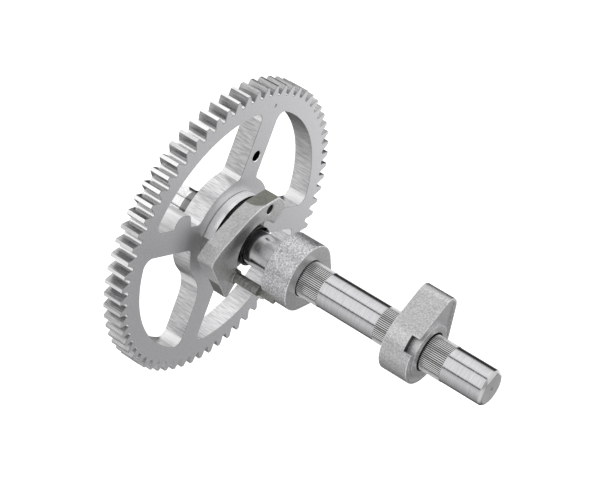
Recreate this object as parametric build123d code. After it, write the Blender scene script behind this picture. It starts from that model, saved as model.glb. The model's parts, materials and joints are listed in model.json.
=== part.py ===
from build123d import *
from math import acos, asin, atan, atan2, cos, degrees, pi, radians, sin, sqrt, tan
import os

# A small engine's camshaft with its timing gear, two pressed-on cam lobes and an
# automatic compression release. Millimetres and degrees. +Z runs along the shaft to
# its free end, and the origin is on the shaft's axis at the gear's front face.

# Shaft
shaft_radius = 15.875 / 2
free_end_z = 135.8
free_end_chamfer = 1.3
tang_end_z = -42.0
tang_end_chamfer = 0.8
tang_thickness = 5.1
tang_radius = 7.55
journal_end_z = -22.0
tang_shoulder_gap = 0.2
tang_cutter_radius = 30.0
tang_cutter_reach = 22.0
tang_cutter_angle = 23.0
knurl_height = 0.16
knurl_end_chamfer = 0.14
gear_seat_inset = 0.6
inner_knurl_start = 31.0
inner_knurl_end = 53.5
outer_knurl_start = 82.2
outer_knurl_end = 115.9
press_interference = 0.02

# Timing gear
gear_module = 2.0
gear_teeth = 66
pressure_angle = 20.0
root_round_height = 0.4
gear_thickness = 9.5
tooth_phase = 1.18
rim_inner_radius = 56.3
hub_radius = 25.3
spoke_count = 4
spoke_width = 11.8
first_spoke_angle = 45.0
rim_corner_radius = 4.0
hub_corner_radius = 3.0
swept_corner_radius = 17.0
boss_radius = 19.0
boss_height = 5.0
boss_chamfer = 0.5
index_hole_radius = 2.3
index_hole_chamfer = 0.35
index_hole_reach = 35.4
dimple_radius = 0.9
dimple_depth = 0.7
dimple_reach = 58.8
dimple_angle = -45.5

# Lug on the edge of the first spoke
lug_foot_start = 30.05
lug_foot_end = 43.18
lug_tip_start = 34.6
lug_tip_end = 42.6
lug_height = 6.0
lug_corner_radius = 3.3

# Cam lobes
base_radius = 15.3
lobe_lift = 8.7
nose_radius = 6.0
lobe_edge_chamfer = 0.45
bore_mouth_chamfer = 0.9
exhaust_back_z = 30.0
exhaust_width = 13.0
exhaust_direction = 203.0
intake_back_z = 91.0
intake_width = 13.8
intake_direction = 303.0

# Front face of the intake lobe
collar_radius = 12.0
collar_height = 0.6
recess_depth = 0.8
rim_band = 1.3
notch_width = 7.3
notch_depth = 3.7
notch_angle = 27.7

# Compression release, its pin and the flat that lets the valve close
pivot_outset = 0.4
pivot_angle = 94.45
pin_radius = 2.3
pin_running_clearance = 0.06
pin_back_inset = 0.5
pin_collar_radius = 3.2
pin_collar_height = 1.7
pin_tip_z = 36.9
pin_tip_gap = 0.2
pin_flat_start = 29.0
release_swing = 40.0
flat_relief = 0.05

# Flyweight: its corners are reaches from the shaft's axis, and angles back from the pin
weight_gap = 2.1
weight_thickness = 8.1
weight_inner_radius = 12.4
weight_edge_chamfer = 0.4
tail_reach = 25.5
tail_angle = -18.9
heel_reach = 31.5
heel_angle = 41.2
shoulder_reach = 27.4
shoulder_angle = 54.0
belly_reach = 20.6
belly_angle = 98.2
facet_reach = 20.9
facet_angle = 121.2
facet_outer_side = 1.2
facet_inner_side = 11.0
tip_reach = 22.9
tip_angle = 168.0
fork_reach = 18.0
fork_angle = 174.3
tail_round = 1.6
heel_round = 2.6
shoulder_round = 3.0
belly_round = 5.0
tip_round = 2.2
mouth_round = 1.5
weight_hole_radius = 2.2
weight_hole_reach = 18.0
weight_hole_angle = 138.5

# Relief on the back edge of the tail, and the shallow flat milled into the arm
tail_relief_start = 0.56
tail_relief_depth = 1.5
tail_relief_height = 2.1
arm_flat_depth = 0.35
arm_flat_side = 2.2
arm_flat_rim = 0.7
arm_flat_round = 5.0

# Return spring
spring_wire_radius = 0.65
spring_wire_sides = 8
spring_shaft_gap = 0.1
spring_boss_gap = 0.05
spring_pitch = 1.42
spring_turns = 6.12
spring_end_angle = 293.0

# How far a cutting tool runs past the metal
overrun = 1.0

pivot_reach = base_radius + pivot_outset
root_radius = gear_module * (gear_teeth / 2 - 1.25)
tip_radius = gear_module * (gear_teeth / 2 + 1)
knurl_radius = shaft_radius + knurl_height
pressed_bore = knurl_radius - press_interference
pin_bore = pin_radius + pin_running_clearance
weight_back_z = boss_height + weight_gap
weight_front_z = weight_back_z + weight_thickness
beyond = 2 * tip_radius


def polar(reach, angle):
    return (reach * cos(radians(angle)), reach * sin(radians(angle)))


def rod(radius, z0, z1, x=0.0, y=0.0):
    # a round bar parallel to the shaft, from one height to another
    return Pos(x, y, z0) * Cylinder(radius, z1 - z0, align=(Align.CENTER, Align.CENTER, Align.MIN))


def rounded_corner(face, point, radius):
    # round the one corner of an outline that lies nearest to a point
    corner = face.vertices().sort_by_distance((point[0], point[1], 0))[0]
    return fillet(corner, radius)


# Shaft with knurled bands under the gear and the lobes, a chamfered free end and a milled tang

def knurled_band(z0, z1):
    band = rod(knurl_radius, z0, z1)
    ends = band.edges().filter_by(GeomType.CIRCLE)
    return chamfer(ends, knurl_end_chamfer)


def tang_side(side):
    # what one side-milling cutter takes away, with the arc of the cutter at the shoulder
    rise = sqrt(tang_cutter_radius**2 - (tang_cutter_reach - tang_radius)**2)
    centre_z = journal_end_z - tang_shoulder_gap - rise
    disc = Plane.XZ * Pos(tang_cutter_reach, centre_z) * Circle(tang_cutter_radius)
    cut = extrude(disc, amount=shaft_radius * 2)
    cut = Pos(0, -tang_thickness / 2, 0) * cut
    if side > 0:
        cut = mirror(cut, about=Plane.XZ)
    return Rot(0, 0, tang_cutter_angle) * cut


def make_camshaft():
    bar = rod(shaft_radius, journal_end_z, free_end_z)
    bar = chamfer(bar.edges().filter_by(GeomType.CIRCLE).sort_by(Axis.Z)[-1], free_end_chamfer)
    tang = rod(tang_radius, tang_end_z, journal_end_z)
    tang = chamfer(tang.edges().filter_by(GeomType.CIRCLE).sort_by(Axis.Z)[0], tang_end_chamfer)
    bar = bar + tang - tang_side(1) - tang_side(-1)
    bar = bar + knurled_band(-gear_thickness, boss_height - gear_seat_inset)
    bar = bar + knurled_band(inner_knurl_start, inner_knurl_end)
    return bar + knurled_band(outer_knurl_start, outer_knurl_end)


# Timing gear: involute teeth, four windows, a boss that carries the release pin

def tooth_half_angle(radius):
    # half the angle that one tooth takes up at this radius, in radians
    base = gear_module * gear_teeth / 2 * cos(radians(pressure_angle))
    start = tan(radians(pressure_angle)) - radians(pressure_angle)
    roll = acos(base / radius)
    return pi / (2 * gear_teeth) + start - (tan(roll) - roll)


def tooth_edges(centre):
    # one tooth's two flanks and land, and the round root that follows it
    foot = root_radius + root_round_height
    middle = (foot + tip_radius) / 2
    gap_centre = centre + 180 / gear_teeth
    next_centre = centre + 360 / gear_teeth

    def flank_point(radius, side, about=centre):
        return polar(radius, about + side * degrees(tooth_half_angle(radius)))

    rising = ThreePointArc(flank_point(foot, -1), flank_point(middle, -1), flank_point(tip_radius, -1))
    land = ThreePointArc(flank_point(tip_radius, -1), polar(tip_radius, centre), flank_point(tip_radius, 1))
    falling = ThreePointArc(flank_point(tip_radius, 1), flank_point(middle, 1), flank_point(foot, 1))
    root = ThreePointArc(
        flank_point(foot, 1),
        polar(root_radius, gap_centre),
        flank_point(foot, -1, next_centre),
    )
    return [rising, land, falling, root]


def toothed_blank():
    edges = []
    for i in range(gear_teeth):
        edges += tooth_edges(tooth_phase + i * 360 / gear_teeth)
    return make_face(edges)


def lug_outline():
    # the lug stands on the side of the first spoke, in that spoke's own direction
    foot = -spoke_width / 2 + overrun
    tip = -spoke_width / 2 - lug_height
    corners = [(lug_foot_start, foot), (lug_tip_start, tip), (lug_tip_end, tip), (lug_foot_end, foot)]
    outline = make_face(Polyline(*corners, close=True))
    outline = rounded_corner(outline, (lug_tip_start, tip), lug_corner_radius)
    outline = rounded_corner(outline, (lug_tip_end, tip), lug_corner_radius)
    return Rot(0, 0, first_spoke_angle) * outline


def window(number):
    # the opening that follows one spoke, between the hub, the rim and the next spoke
    step = 360 / spoke_count
    angle = first_spoke_angle + number * step
    half = spoke_width / 2
    quarter = Rectangle(beyond, beyond, align=(Align.MIN, Align.MIN))
    near = Rot(0, 0, angle) * Pos(0, half) * quarter
    far = Rot(0, 0, angle + step) * Pos(0, -half) * mirror(quarter, about=Plane.XZ)
    face = ((Circle(rim_inner_radius) - Circle(hub_radius)) & near & far).faces()[0]

    def corner(radius, after_first_spoke):
        turn = degrees(asin(half / radius))
        return polar(radius, angle + turn if after_first_spoke else angle + step - turn)

    # the first window has one wide swept corner at the hub
    last_hub_corner = swept_corner_radius if number == 0 else hub_corner_radius
    face = rounded_corner(face, corner(rim_inner_radius, True), rim_corner_radius)
    face = rounded_corner(face, corner(rim_inner_radius, False), rim_corner_radius)
    face = rounded_corner(face, corner(hub_radius, True), hub_corner_radius)
    return rounded_corner(face, corner(hub_radius, False), last_hub_corner)


def index_hole():
    # a through hole in the last spoke, with both mouths broken
    angle = first_spoke_angle + (spoke_count - 1) * 360 / spoke_count
    x, y = polar(index_hole_reach, angle)
    hole = rod(index_hole_radius, -gear_thickness, 0, x, y)
    mouth = index_hole_radius + index_hole_chamfer
    front = Pos(x, y, -index_hole_chamfer / 2) * Cone(index_hole_radius, mouth, index_hole_chamfer)
    back = Pos(x, y, index_hole_chamfer / 2 - gear_thickness) * Cone(mouth, index_hole_radius, index_hole_chamfer)
    return hole + front + back


def make_timing_gear():
    blank = toothed_blank()
    for number in range(spoke_count):
        opening = window(number)
        if number == spoke_count - 1:
            opening = opening - lug_outline()
        blank = blank - opening
    gear = extrude(blank, amount=-gear_thickness)
    boss = rod(boss_radius, -gear_thickness / 2, boss_height)
    boss = chamfer(boss.edges().filter_by(GeomType.CIRCLE).sort_by(Axis.Z)[-1], boss_chamfer)
    gear = gear + boss
    gear = gear - rod(pressed_bore, -gear_thickness - overrun, boss_height + overrun)
    pivot_x, pivot_y = polar(pivot_reach, pivot_angle)
    gear = gear - rod(pin_bore, -gear_thickness - overrun, boss_height + overrun, pivot_x, pivot_y)
    gear = gear - index_hole()
    dimple_x, dimple_y = polar(dimple_reach, dimple_angle)
    dimple = Pos(dimple_x, dimple_y, -dimple_depth / 2) * Cone(dimple_radius / 4, dimple_radius, dimple_depth)
    return gear - dimple


# Cam lobes: a base circle, a nose circle and the two flanks that touch both

def cam_profile(direction):
    nose_reach = base_radius + lobe_lift - nose_radius
    flank = degrees(acos((base_radius - nose_radius) / nose_reach))
    nose = polar(nose_reach, direction)

    def nose_point(angle):
        x, y = polar(nose_radius, angle)
        return (nose[0] + x, nose[1] + y)

    base = ThreePointArc(
        polar(base_radius, direction + flank),
        polar(base_radius, direction + 180),
        polar(base_radius, direction - flank),
    )
    closing = Line(polar(base_radius, direction - flank), nose_point(direction - flank))
    tip = ThreePointArc(nose_point(direction - flank), nose_point(direction), nose_point(direction + flank))
    opening = Line(nose_point(direction + flank), polar(base_radius, direction + flank))
    return make_face([base, closing, tip, opening])


def lobe_blank(direction, back_z, width):
    blank = Pos(0, 0, back_z) * extrude(cam_profile(direction), amount=width)
    faces = blank.faces().sort_by(Axis.Z)
    return chamfer(faces[0].edges() + faces[-1].edges(), lobe_edge_chamfer)


def lobe_bore_cut(back_z, front_z):
    # the pressed bore, with a lead-in at each mouth
    bore = rod(pressed_bore, back_z - overrun, front_z + overrun)
    mouth = pressed_bore + bore_mouth_chamfer
    back = Pos(0, 0, back_z + bore_mouth_chamfer / 2) * Cone(mouth, pressed_bore, bore_mouth_chamfer)
    front = Pos(0, 0, front_z - bore_mouth_chamfer / 2) * Cone(pressed_bore, mouth, bore_mouth_chamfer)
    return bore + back + front


def make_exhaust_lobe():
    front_z = exhaust_back_z + exhaust_width
    lobe = lobe_blank(exhaust_direction, exhaust_back_z, exhaust_width)
    lobe = lobe - lobe_bore_cut(exhaust_back_z, front_z)
    # the groove in which the release pin turns, open at the back
    pivot_x, pivot_y = polar(pivot_reach, pivot_angle)
    return lobe - rod(pin_bore, exhaust_back_z - overrun, pin_tip_z + pin_tip_gap, pivot_x, pivot_y)


def make_intake_lobe():
    front_z = intake_back_z + intake_width
    floor_z = front_z - recess_depth
    top_z = front_z + collar_height
    lobe = lobe_blank(intake_direction, intake_back_z, intake_width)
    recess = offset(cam_profile(intake_direction), amount=-rim_band) - Circle(collar_radius)
    lobe = lobe - Pos(0, 0, floor_z) * extrude(recess, amount=recess_depth + overrun)
    lobe = lobe + rod(collar_radius, floor_z, top_z)
    notch = Pos(0, 0, front_z - notch_depth) * Box(
        beyond, notch_width, notch_depth + collar_height + overrun, align=(Align.MIN, Align.CENTER, Align.MIN)
    )
    notch = Rot(0, 0, notch_angle) * notch - rod(collar_radius, intake_back_z, top_z + 2 * overrun)
    lobe = lobe - notch
    return lobe - lobe_bore_cut(intake_back_z, top_z)


# Compression release: the pin, the C-shaped flyweight and the spring

def make_release_pin():
    x, y = polar(pivot_reach, pivot_angle)
    pin = rod(pin_radius, pin_back_inset - gear_thickness, pin_tip_z, x, y)
    pin = pin + rod(pin_collar_radius, weight_front_z, weight_front_z + pin_collar_height, x, y)
    # swung out, the flat lies just under the base circle of the exhaust lobe
    flat_offset = -pivot_outset - flat_relief
    cut = Pos(flat_offset, 0, pin_flat_start) * Box(
        2 * pin_radius, 4 * pin_radius, pin_tip_z, align=(Align.MIN, Align.CENTER, Align.MIN)
    )
    return pin - Pos(x, y, 0) * Rot(0, 0, pivot_angle - release_swing) * cut


def weight_point(reach, angle):
    return polar(reach, pivot_angle - angle)


def facet_end(side):
    # one end of the flat on the arm, measured along the flat from its foot point
    turn = degrees(atan(side / facet_reach))
    return weight_point(sqrt(facet_reach**2 + side**2), facet_angle - turn)


def weight_outline():
    tail = weight_point(tail_reach, tail_angle)
    heel = weight_point(heel_reach, heel_angle)
    shoulder = weight_point(shoulder_reach, shoulder_angle)
    belly = weight_point(belly_reach, belly_angle)
    facet_outer = facet_end(facet_outer_side)
    facet_inner = facet_end(-facet_inner_side)
    tip = weight_point(tip_reach, tip_angle)
    fork = weight_point(fork_reach, fork_angle)
    corners = [(0, 0), tail, heel, shoulder, belly, facet_outer, facet_inner, tip, fork]
    face = make_face(Polyline(*corners, close=True))
    face = face - Circle(weight_inner_radius)
    face = face.faces()[0]
    face = rounded_corner(face, tail, tail_round)
    face = rounded_corner(face, heel, heel_round)
    face = rounded_corner(face, shoulder, shoulder_round)
    face = rounded_corner(face, belly, belly_round)
    face = rounded_corner(face, tip, tip_round)
    face = rounded_corner(face, fork, tip_round)
    face = rounded_corner(face, weight_point(weight_inner_radius, tail_angle), mouth_round)
    face = rounded_corner(face, weight_point(weight_inner_radius, fork_angle), mouth_round)
    return face


def tail_relief():
    # measured from the heel, along the wall that leads to the tail
    heel_x, heel_y = weight_point(heel_reach, heel_angle)
    tail_x, tail_y = weight_point(tail_reach, tail_angle)
    along_x, along_y = tail_x - heel_x, tail_y - heel_y
    wall = sqrt(along_x**2 + along_y**2)
    block = Pos(tail_relief_start * wall, tail_relief_depth, weight_back_z - overrun) * Box(
        wall, tail_relief_depth + overrun, tail_relief_height + overrun, align=(Align.MIN, Align.MAX, Align.MIN)
    )
    return Pos(heel_x, heel_y, 0) * Rot(0, 0, degrees(atan2(along_y, along_x))) * block


def arm_flat():
    # milled square to the facet, open at the back and at the tip, with the cutter's round at its foot
    low, high = weight_back_z - overrun, weight_front_z - arm_flat_rim
    run = arm_flat_side + facet_inner_side + 2 * overrun
    block = Pos(facet_reach - arm_flat_depth, arm_flat_side, low) * Box(
        arm_flat_depth + overrun, run, high - low, align=(Align.MIN, Align.MAX, Align.MIN)
    )
    foot = block.edges().filter_by(Axis.X).sort_by(lambda edge: edge.center().Y + edge.center().Z)[-1]
    return Rot(0, 0, pivot_angle - facet_angle) * fillet(foot, arm_flat_round)


def make_flyweight():
    weight = Pos(0, 0, weight_back_z) * extrude(weight_outline(), amount=weight_thickness)
    front = weight.faces().sort_by(Axis.Z)[-1]
    weight = chamfer(front.edges(), weight_edge_chamfer)
    pivot_x, pivot_y = polar(pivot_reach, pivot_angle)
    low, high = weight_back_z - overrun, weight_front_z + overrun
    weight = weight - rod(pin_radius - press_interference, low, high, pivot_x, pivot_y)
    hole_x, hole_y = weight_point(weight_hole_reach, weight_hole_angle)
    weight = weight - rod(weight_hole_radius, low, high, hole_x, hole_y)
    return weight - tail_relief() - arm_flat()


def make_return_spring():
    mean_radius = shaft_radius + spring_shaft_gap + spring_wire_radius
    height = spring_turns * spring_pitch
    start_z = boss_height + spring_boss_gap + spring_wire_radius
    coil = Helix(spring_pitch, height, mean_radius)
    wire = Plane(origin=coil @ 0, z_dir=coil % 0) * RegularPolygon(spring_wire_radius, spring_wire_sides)
    spring = sweep(wire, path=coil)
    return Pos(0, 0, start_z) * Rot(0, 0, spring_end_angle - 360 * spring_turns) * spring


os.makedirs("parts", exist_ok=True)
nodes = {
    "camshaft": make_camshaft(),
    "timing_gear": make_timing_gear(),
    "exhaust_lobe": make_exhaust_lobe(),
    "intake_lobe": make_intake_lobe(),
    "flyweight": make_flyweight(),
    "release_pin": make_release_pin(),
    "return_spring": make_return_spring(),
}
for name, shape in nodes.items():
    export_step(shape, f"parts/{name}.step")
    print(name, round(shape.volume, 1))
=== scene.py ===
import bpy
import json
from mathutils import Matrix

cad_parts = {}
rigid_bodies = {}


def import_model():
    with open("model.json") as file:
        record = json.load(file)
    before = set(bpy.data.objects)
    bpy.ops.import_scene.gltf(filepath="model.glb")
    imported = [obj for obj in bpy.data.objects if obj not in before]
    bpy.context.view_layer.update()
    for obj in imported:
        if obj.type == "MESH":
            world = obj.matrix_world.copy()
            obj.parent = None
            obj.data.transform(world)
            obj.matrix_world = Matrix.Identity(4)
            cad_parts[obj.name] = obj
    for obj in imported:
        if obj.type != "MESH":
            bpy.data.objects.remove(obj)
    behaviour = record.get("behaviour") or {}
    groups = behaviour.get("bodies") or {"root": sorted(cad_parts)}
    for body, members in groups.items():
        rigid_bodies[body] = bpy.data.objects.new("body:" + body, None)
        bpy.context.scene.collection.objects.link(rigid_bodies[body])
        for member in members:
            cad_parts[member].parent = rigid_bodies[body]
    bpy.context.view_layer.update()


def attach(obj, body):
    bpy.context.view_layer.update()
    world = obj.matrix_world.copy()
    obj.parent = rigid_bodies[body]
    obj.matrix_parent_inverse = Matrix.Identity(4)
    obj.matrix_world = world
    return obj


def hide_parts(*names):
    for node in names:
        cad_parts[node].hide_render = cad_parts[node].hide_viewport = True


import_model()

import json
import math

import bmesh
import bpy
from mathutils import Matrix, Vector

# Small engine camshaft with its timing gear and compression release.
# Sizes are in millimetres and degrees; +Z runs along the shaft to its free end.
mm = 0.001
# places nearer than these count as the same level, circle or point
near = {"level": 0.002, "circle": 0.004, "outline": 0.004, "point": 0.001}
hair = 0.1          # a little room when faces are told apart by their place
overrun = 1.0       # how far a cutter runs past the metal
roundSides = 120    # sides of the bores and the collar
print("frame loaded")


# Drawing and selecting in edit mode

def newPiece(name):
    # an empty mesh in edit mode, ready for the first outline
    bpy.ops.object.select_all(action="DESELECT")
    bpy.ops.mesh.primitive_plane_add(size=mm)
    piece = bpy.context.object
    piece.name = name
    piece.data.name = name
    bpy.ops.object.mode_set(mode="EDIT")
    bpy.ops.mesh.select_mode(type="VERT")
    bpy.ops.mesh.delete(type="VERT")
    return piece


pen = {"x": 0.0, "y": 0.0, "z": 0.0}


def penDown(x, y, z):
    # one loose point, drawn out into an outline by extruding it
    bpy.ops.mesh.primitive_plane_add(size=mm, location=(x * mm, y * mm, z * mm))
    bpy.ops.mesh.merge(type="CENTER")
    pen.update(x=x, y=y, z=z)


def lineTo(x, y):
    step = ((x - pen["x"]) * mm, (y - pen["y"]) * mm, 0)
    bpy.ops.mesh.extrude_vertices_move(TRANSFORM_OT_translate={"value": step})
    pen.update(x=x, y=y)


def arcRound(cx, cy, turn, steps):
    # spin counts angles the other way round
    bpy.ops.mesh.spin(
        steps=steps, angle=-math.radians(turn), center=(cx * mm, cy * mm, pen["z"] * mm), axis=(0, 0, 1)
    )
    x, y = turned((pen["x"] - cx, pen["y"] - cy), turn)
    pen.update(x=cx + x, y=cy + y)


def polar(reach, angle):
    return reach * math.cos(math.radians(angle)), reach * math.sin(math.radians(angle))


def turned(point, angle):
    c, s = math.cos(math.radians(angle)), math.sin(math.radians(angle))
    return c * point[0] - s * point[1], s * point[0] + c * point[1]


def pick(test):
    # selects the points whose place, in millimetres, passes the test
    mesh = bmesh.from_edit_mesh(bpy.context.object.data)
    for vert in mesh.verts:
        vert.select = bool(test(vert.co.x / mm, vert.co.y / mm, vert.co.z / mm))
    mesh.select_flush_mode()
    bmesh.update_edit_mesh(bpy.context.object.data)


def pickLevel(z):
    pick(lambda px, py, pz: abs(pz - z) < near["level"])


def pickCircle(cx, cy, radius, z):
    def onCircle(px, py, pz):
        return abs(pz - z) < near["level"] and abs(math.hypot(px - cx, py - cy) - radius) < near["circle"]

    pick(onCircle)


def addCircle(radius, z, x=0.0, y=0.0, sides=roundSides):
    bpy.ops.mesh.primitive_circle_add(vertices=sides, radius=radius * mm, location=(x * mm, y * mm, z * mm))


def pull(dz, widen=1.0, x=0.0, y=0.0):
    # the selected ring is extruded along the shaft and made wider or narrower
    bpy.ops.mesh.extrude_region_move(TRANSFORM_OT_translate={"value": (0, 0, dz * mm)})
    if widen != 1.0:
        bpy.ops.transform.resize(value=(widen, widen, 1), center_override=(x * mm, y * mm, 0))


def closeRing():
    bpy.ops.mesh.extrude_region_move(TRANSFORM_OT_translate={"value": (0, 0, 0)})
    bpy.ops.mesh.merge(type="CENTER")


def breakEdge(width, rise):
    # the selected flat is inset from its walls and lifted: a chamfer all round it
    bpy.ops.mesh.inset(thickness=width * mm, depth=0, use_boundary=False, use_even_offset=True)
    bpy.ops.transform.translate(value=(0, 0, rise * mm))


def softenEdge(radius, up=1, steps=3):
    # the same in small steps, for a rounded edge
    for i in range(steps):
        a, b = math.radians(90 * i / steps), math.radians(90 * (i + 1) / steps)
        breakEdge(radius * (math.cos(a) - math.cos(b)), up * radius * (math.sin(b) - math.sin(a)))


def weld(gap=near["outline"]):
    bpy.ops.mesh.remove_doubles(threshold=gap * mm)


def closeMesh():
    # doubled points are merged and the faces turned outwards
    bpy.ops.object.mode_set(mode="EDIT")
    bpy.ops.mesh.select_all(action="SELECT")
    weld(near["point"])
    bpy.ops.mesh.normals_make_consistent(inside=False)
    bpy.ops.object.mode_set(mode="OBJECT")


def finishPiece(piece, smoothAngle):
    closeMesh()
    bpy.ops.object.shade_smooth_by_angle(angle=math.radians(smoothAngle))
    weights = piece.modifiers.new("flatFaces", "WEIGHTED_NORMAL")
    weights.keep_sharp = True
    bpy.ops.object.modifier_apply(modifier=weights.name)


# Cutting

def putDown():
    # back to object mode with nothing selected, before a cutter is added
    bpy.ops.object.mode_set(mode="OBJECT")
    bpy.ops.object.select_all(action="DESELECT")


def takeUp(piece):
    bpy.ops.object.select_all(action="DESELECT")
    piece.select_set(True)
    bpy.context.view_layer.objects.active = piece


def cut(piece, tool):
    # the cutter is closed, with its faces outwards, and put in its place before it cuts
    closeMesh()
    takeUp(tool)
    bpy.ops.object.transform_apply(location=True, rotation=True, scale=True)
    takeUp(piece)
    difference = piece.modifiers.new("cut", "BOOLEAN")
    difference.operation = "DIFFERENCE"
    difference.solver = "EXACT"
    difference.object = tool
    bpy.ops.object.modifier_apply(modifier=difference.name)
    bpy.data.objects.remove(tool)


def millingTool(radius, length, centre, turn=(0, 0, 0), sides=64):
    # a round cutter about its middle
    putDown()
    bpy.ops.mesh.primitive_cylinder_add(
        vertices=sides, radius=radius * mm, depth=length * mm, rotation=turn,
        location=[c * mm for c in centre],
    )
    return bpy.context.object


def blockTool(size, low, turn, x=0.0, y=0.0):
    # a block that starts at its place and runs on in its own direction
    putDown()
    bpy.ops.mesh.primitive_cube_add(size=mm, scale=size, location=[side * mm / 2 for side in size])
    block = bpy.context.object
    bpy.ops.object.transform_apply(location=True, rotation=True, scale=True)
    block.location = (x * mm, y * mm, low * mm)
    block.rotation_euler = (0, 0, math.radians(turn))
    return block


# Materials

def fromHex(text):
    # sRGB hex to the linear colour that the shader wants
    channels = [int(text[i:i + 2], 16) / 255 for i in (1, 3, 5)]
    linear = [c / 12.92 if c <= 0.04045 else ((c + 0.055) / 1.055) ** 2.4 for c in channels]
    return (*linear, 1.0)


def addNode(tree, kind, settings=None, inputs=None, stops=None):
    # a node with its settings, its links or values, and the stops of a colour ramp
    node = tree.nodes.new(kind)
    for key, value in (settings or {}).items():
        setattr(node, key, value)
    for key, value in (inputs or {}).items():
        if isinstance(value, bpy.types.NodeSocket):
            tree.links.new(value, node.inputs[key])
        else:
            node.inputs[key].default_value = value
    if stops:
        elements = node.color_ramp.elements
        elements.remove(elements[1])
        for number, (place, colour) in enumerate(stops):
            element = elements[0] if number == 0 else elements.new(place)
            element.position = place
            element.color = colour
    return node


def newFinish(name, metallic=1.0):
    material = bpy.data.materials.new(name)
    material.use_nodes = True
    tree = material.node_tree
    shader = tree.nodes["Principled BSDF"]
    shader.inputs["Metallic"].default_value = metallic
    place = addNode(tree, "ShaderNodeTexCoord").outputs["Object"]
    return material, tree, shader, place


def twoGreys(dark, light, low=0.35, high=0.65):
    return [(low, fromHex(dark)), (high, fromHex(light))]


def awayFrom(tree, place, start, end, x=0.0, y=0.0, squash=1.0):
    # 0 round a line that runs along the shaft's direction, rising to 1 away from it
    flat = addNode(tree, "ShaderNodeMapping", inputs={
        "Vector": place, "Location": (-x * mm, -y * squash * mm, 0), "Scale": (1, squash, 0),
    })
    reach = addNode(
        tree, "ShaderNodeVectorMath", settings={"operation": "LENGTH"}, inputs={0: flat.outputs["Vector"]},
    )
    return addNode(tree, "ShaderNodeMapRange", inputs={
        "Value": reach.outputs["Value"], "From Min": start * mm, "From Max": end * mm,
    }).outputs["Result"]


noiseSpan = (0.3, 0.7)    # most of the noise lies between these


def makeFinish(name, look):
    # grains or tool marks give a surface its two greys, its roughness and its fine relief
    material, tree, shader, place = newFinish(name, look.get("metallic", 1.0))
    stretched = addNode(
        tree, "ShaderNodeMapping", inputs={"Vector": place, "Scale": look.get("stretch", (1, 1, 1))},
    )
    marks = addNode(tree, "ShaderNodeTexNoise", inputs={
        "Vector": stretched.outputs["Vector"], "Scale": 1 / mm / look["marks"], "Detail": look["detail"],
        "Roughness": look.get("grit", 0.6),
    }).outputs["Fac"]
    greys = addNode(tree, "ShaderNodeValToRGB", inputs={"Fac": marks}, stops=twoGreys(*look["greys"]))
    colour = greys.outputs["Color"]
    # painted shade: a darker copy of the greys, blended in round a line along the shaft and fading away from
    # it
    if "paintedShadeGreys" in look:
        shadedGreys = addNode(tree, "ShaderNodeValToRGB", inputs={"Fac": marks}, stops=twoGreys(*look["paintedShadeGreys"]))
        shadeFade = awayFrom(tree, place, *look["paintedShadeReach"], *look["paintedShadePlace"], look["paintedShadeSquash"])
        colour = addNode(tree, "ShaderNodeMix", settings={"data_type": "RGBA"}, inputs={
            0: shadeFade, 6: shadedGreys.outputs["Color"], 7: colour,
        }).outputs[2]
    tree.links.new(colour, shader.inputs["Base Color"])
    if isinstance(look["roughness"], tuple):
        smooth, rough = look["roughness"]
        sheen = addNode(tree, "ShaderNodeMapRange", inputs={
            "Value": marks, "From Min": noiseSpan[0], "From Max": noiseSpan[1],
            "To Min": smooth, "To Max": rough,
        })
        tree.links.new(sheen.outputs["Result"], shader.inputs["Roughness"])
    else:
        shader.inputs["Roughness"].default_value = look["roughness"]
    if "depth" in look:
        relief = addNode(
            tree, "ShaderNodeBump", inputs={"Height": marks, "Distance": look["depth"] * mm, "Strength": 1.0},
        )
        tree.links.new(relief.outputs["Normal"], shader.inputs["Normal"])
    return material


def wear(piece, names, finishAt=None):
    # each face takes the finish for its place, in millimetres, and its normal
    for name in names:
        piece.data.materials.append(finishes[name])
    if finishAt:
        for face in piece.data.polygons:
            face.material_index = names.index(finishAt(*(face.center / mm), face.normal))


# Each look has its two greys, how far apart its marks are and how high they stand. The real rings, feed
# lines and grains are 0.05 to 0.2 mm apart, too fine to show, and are drawn as coarse as they need.

finishes = {}
turning = {"stretch": (0.05, 0.05, 1), "detail": 2, "marks": 0.5, "roughness": (0.15, 0.22), "depth": 0.002}
shaftLooks = {
    # cold drawn bar, centreless ground: a mirror-like grey with very fine rings round the shaft
    "groundBarSteel": {
        **turning, "greys": ("#c6c6c8", "#d6d6d8"), "roughness": (0.13, 0.19), "marks": 0.35, "depth": 0.0004,
    },
    # turned ends with fine rings: the stub painted darker as shade, where it lies behind the gear, and the
    # tang's round painted nearly white as a highlight; the free end's chamfer between
    "shadedStubSteel": {**turning, "greys": ("#7e7e7f", "#949495")},
    "highlitTangSteel": {**turning, "greys": ("#ececec", "#fafafa")},
    "turnedChamferSteel": {**turning, "greys": ("#a8a8a8", "#bcbcbc")},
}

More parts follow.
